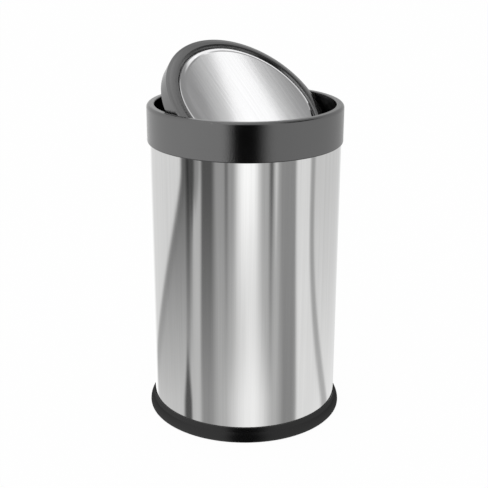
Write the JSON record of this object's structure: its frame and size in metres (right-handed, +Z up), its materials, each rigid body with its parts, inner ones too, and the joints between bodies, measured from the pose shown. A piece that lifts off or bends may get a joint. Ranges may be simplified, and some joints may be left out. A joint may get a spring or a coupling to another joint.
{
  "type": "swing lid waste bin",
  "caption": "Round steel countertop bin with a plastic foot ring, a lift-off collar, a counterweighted swing lid and a lift-out pail with a wire bail.",
  "frame": {"origin": "on the counter, at the middle of the foot ring", "axes": "+Z up along the drum; X along the lid's pivot line; +Y towards the lid edge that stands raised at rest"},
  "size_m": [0.1476, 0.1476, 0.2776],
  "materials": {
    "foot_plastic": "black, moulded, half gloss",
    "pad_rubber": "matt rubber",
    "pan_steel": "pressed steel",
    "drum_steel": "polished with a fine vertical grain",
    "collar_plastic": "black, moulded, half gloss; it mirrors a bright room as dark grey",
    "sleeve_plastic": "black, smooth moulded plastic",
    "bush_plastic": "natural bearing plastic",
    "stop_rubber": "matt rubber",
    "frame_plastic": "dark grey, moulded, half gloss",
    "panel_steel": "brushed in one direction, across the pivot line",
    "back_plastic": "fine moulded texture",
    "screw_steel": "zinc plated",
    "weight_steel": "plain bar steel",
    "pin_steel": "ground pin",
    "pail_plastic": "fine moulded texture",
    "wire_steel": "zinc plated wire",
    "grip_plastic": "moulded plastic"
  },
  "bodies": {
    "bin_body": {"base_ring": "foot_plastic", "base_pads": "pad_rubber", "bottom_pan": "pan_steel", "body_shell": "drum_steel"},
    "collar": {"collar_shell": "collar_plastic", "collar_sleeve": "sleeve_plastic", "pivot_bush_left": "bush_plastic", "pivot_bush_right": "bush_plastic", "lid_stop_left": "stop_rubber", "lid_stop_right": "stop_rubber"},
    "lid": {"lid_frame": "frame_plastic", "lid_panel": "panel_steel", "lid_back": "back_plastic", "back_screws": "screw_steel", "lid_weight": "weight_steel", "weight_screws": "screw_steel", "pivot_pin_left": "pin_steel", "pivot_pin_right": "pin_steel"},
    "pail": {"inner_pail": "pail_plastic"},
    "bail": {"pail_bail": "wire_steel", "bail_grip": "grip_plastic"}
  },
  "joints": [
    {"name": "collar_lift", "type": "slide", "parent": "bin_body", "child": "collar", "axis": [0, 0, 1], "range_m": [0, 0.44]},
    {"name": "lid_swing", "type": "hinge", "parent": "collar", "child": "lid", "pos_m": [0, 0, 0.2321], "axis": [1, 0, 0], "range_deg": [-114.5, 35.5]},
    {"name": "pail_lift", "type": "slide", "parent": "bin_body", "child": "pail", "axis": [0, 0, 1], "range_m": [0, 0.221]},
    {"name": "bail_swing", "type": "hinge", "parent": "pail", "child": "bail", "pos_m": [0, 0, 0.19309], "axis": [0, -1, 0], "range_deg": [0, 90]}
  ],
  "couplings": [
    {"joint": "pail_lift", "follows": "collar_lift", "ratio": 0.5},
    {"joint": "bail_swing", "follows": "collar_lift", "rad_per_m": 3.56}
  ]
}
